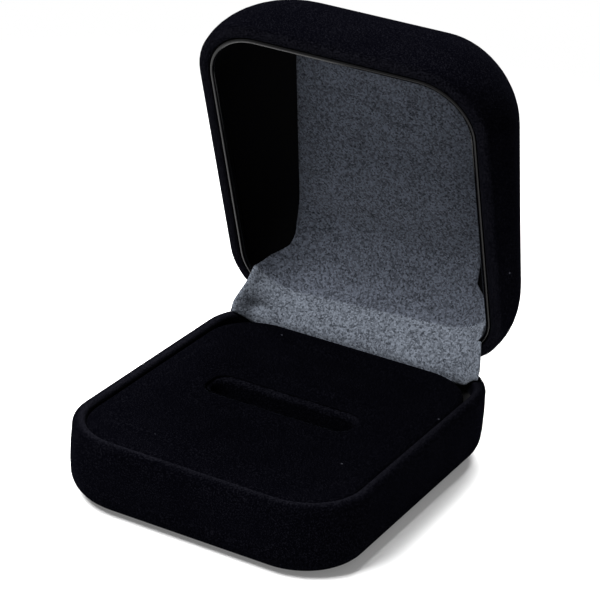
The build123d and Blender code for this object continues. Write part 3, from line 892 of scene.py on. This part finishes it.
class RINGBOX_OT_stage(bpy.types.Operator):
    """Pale floor, soft lamps, white background and camera"""

    bl_idname = "ringbox.stage"
    bl_label = "Stage"

    def execute(self, context):
        scene = context.scene
        scene.view_settings.view_transform = "Standard"
        self.floor()
        self.world(scene)
        self.lamp("key_softbox", place=(-0.16, -0.36, 0.64), size=0.26, power=9.0)
        self.lamp("back_softbox", place=(-0.10, 0.42, 0.58), size=0.40, power=11.0)
        self.lamp("side_softbox", place=(-0.55, 0.20, 0.50), size=0.18, power=1.6)
        self.camera(scene)
        return {"FINISHED"}

    def floor(self):
        """A disc that fades to the white background away from the box."""
        radius, steps, fade_start, fade_end = 400, 64, 70, 240
        finish, tree, out = new_material("pale_studio_floor")
        place = add_node(tree, "ShaderNodeTexCoord").outputs["Object"]
        far = add_node(tree, "ShaderNodeVectorMath", {0: place}, operation="LENGTH")
        fade = add_node(
            tree,
            "ShaderNodeMapRange",
            {"Value": far.outputs["Value"], "From Min": fade_start * MM, "From Max": fade_end * MM},
            interpolation_type="SMOOTHSTEP",
        )
        paint = add_node(tree, "ShaderNodeBsdfDiffuse", {"Color": linear(colours().floor)})
        glow = add_node(tree, "ShaderNodeEmission", {"Color": (1, 1, 1, 1), "Strength": 1.0})
        # to the camera the paint has a little of the background's white
        lit = add_node(tree, "ShaderNodeMixShader", {0: 0.15, 1: paint.outputs[0], 2: glow.outputs[0]})
        ray = add_node(tree, "ShaderNodeLightPath")
        seen = add_node(
            tree,
            "ShaderNodeMixShader",
            {0: ray.outputs["Is Camera Ray"], 1: paint.outputs[0], 2: lit.outputs[0]},
        )
        clear = add_node(tree, "ShaderNodeBsdfTransparent")
        mixed = add_node(
            tree, "ShaderNodeMixShader", {0: fade.outputs["Result"], 1: seen.outputs[0], 2: clear.outputs[0]}
        )
        tree.links.new(mixed.outputs[0], out.inputs["Surface"])
        angle = np.linspace(0, 2 * math.pi, steps, endpoint=False)
        rim = np.column_stack([radius * np.cos(angle), radius * np.sin(angle), np.zeros(steps)])
        corner = np.arange(steps)
        fan = np.stack([np.full(steps, steps), corner, (corner + 1) % steps], 1)
        make_mesh("studio_floor", np.vstack([rim, np.zeros(3)]), [fan], finish, smooth=False)

    def world(self, scene):
        """White to the camera and in reflections, softer as light."""
        world = bpy.data.worlds.new("studio")
        scene.world = world
        world.use_nodes = True
        tree = world.node_tree
        tree.nodes.clear()
        ray = add_node(tree, "ShaderNodeLightPath").outputs
        reflected = add_node(
            tree,
            "ShaderNodeMath",
            {0: ray["Is Glossy Ray"], 1: ray["Is Transmission Ray"]},
            operation="MAXIMUM",
        )
        seen = add_node(
            tree, "ShaderNodeMath", {0: ray["Is Camera Ray"], 1: reflected.outputs[0]}, operation="MAXIMUM"
        )
        plain = add_node(tree, "ShaderNodeBackground", {"Color": (1, 1, 1, 1), "Strength": 1.0})
        soft = add_node(tree, "ShaderNodeBackground", {"Color": (1, 1, 1, 1), "Strength": 0.22})
        mixed = add_node(
            tree, "ShaderNodeMixShader", {0: seen.outputs[0], 1: soft.outputs[0], 2: plain.outputs[0]}
        )
        out = tree.nodes.new("ShaderNodeOutputWorld")
        tree.links.new(mixed.outputs[0], out.inputs["Surface"])

    def lamp(self, name, place, size, power):
        """A square softbox that faces the box, place and size in metres."""
        light = bpy.data.lights.new(name, "AREA")
        light.size, light.energy = size, power
        lamp = bpy.data.objects.new(name, light)
        aim = Vector((0, 0, 0.03))
        lamp.location = place
        lamp.rotation_euler = (aim - Vector(place)).to_track_quat("-Z", "Y").to_euler()
        bpy.context.scene.collection.objects.link(lamp)

    def camera(self, scene):
        """The photograph's viewpoint: azimuth, elevation, distance and roll."""
        azimuth, elevation, roll = (math.radians(v) for v in (27.19, 24.48, 4.31))
        target, distance = Vector((2.25, -1.30, 34.12)), 413.99
        focal, picture, sensor = 2431.95, 600, 36.0  # pixels, pixels, millimetres
        level = math.cos(elevation)
        back = Vector((math.sin(azimuth) * level, -math.cos(azimuth) * level, math.sin(elevation)))
        right = Vector((math.cos(azimuth), math.sin(azimuth), 0))
        up = back.cross(right)
        side = right * math.cos(roll) + up * math.sin(roll)
        high = up * math.cos(roll) - right * math.sin(roll)
        data = bpy.data.cameras.new("camera")
        data.sensor_width = sensor
        data.lens = focal / picture * sensor
        data.clip_start = 0.01
        camera = bpy.data.objects.new("camera", data)
        turn = Matrix((side, high, back)).transposed().to_4x4()
        camera.matrix_world = Matrix.Translation((target + back * distance) * MM) @ turn
        scene.collection.objects.link(camera)
        scene.camera = camera


OPERATORS = (
    RINGBOX_OT_base_velvet,
    RINGBOX_OT_lid_velvet,
    RINGBOX_OT_liner,
    RINGBOX_OT_lining,
    RINGBOX_OT_hinge_cloth,
    RINGBOX_OT_pad,
    RINGBOX_OT_underside,
    RINGBOX_OT_carried_nodes,
    RINGBOX_OT_stage,
)


class RINGBOX_PT_panel(bpy.types.Panel):
    """Lists the sizes, colours and steps"""

    bl_idname = "RINGBOX_PT_panel"
    bl_label = "Ring Box"
    bl_space_type = "VIEW_3D"
    bl_region_type = "UI"
    bl_category = "Ring Box"

    def draw(self, context):
        layout = self.layout
        for group in (context.scene.ring_box_sizes, context.scene.ring_box_colours):
            box = layout.box()
            for name in group.__annotations__:
                box.prop(group, name)
        for operator in OPERATORS:
            layout.operator(operator.bl_idname)


CLASSES = (RingBoxSizes, RingBoxColours, *OPERATORS, RINGBOX_PT_panel)


def register():
    for cls in CLASSES:
        bpy.utils.register_class(cls)
    bpy.types.Scene.ring_box_sizes = PointerProperty(type=RingBoxSizes)
    bpy.types.Scene.ring_box_colours = PointerProperty(type=RingBoxColours)


def unregister():
    del bpy.types.Scene.ring_box_colours
    del bpy.types.Scene.ring_box_sizes
    for cls in reversed(CLASSES):
        bpy.utils.unregister_class(cls)


def main():
    register()
    bpy.ops.ringbox.base_velvet()
    bpy.ops.ringbox.lid_velvet()
    bpy.ops.ringbox.liner()
    bpy.ops.ringbox.lining()
    bpy.ops.ringbox.hinge_cloth()
    bpy.ops.ringbox.pad()
    bpy.ops.ringbox.underside()
    bpy.ops.ringbox.carried_nodes()
    bpy.ops.ringbox.stage()


if __name__ == "__main__":
    main()
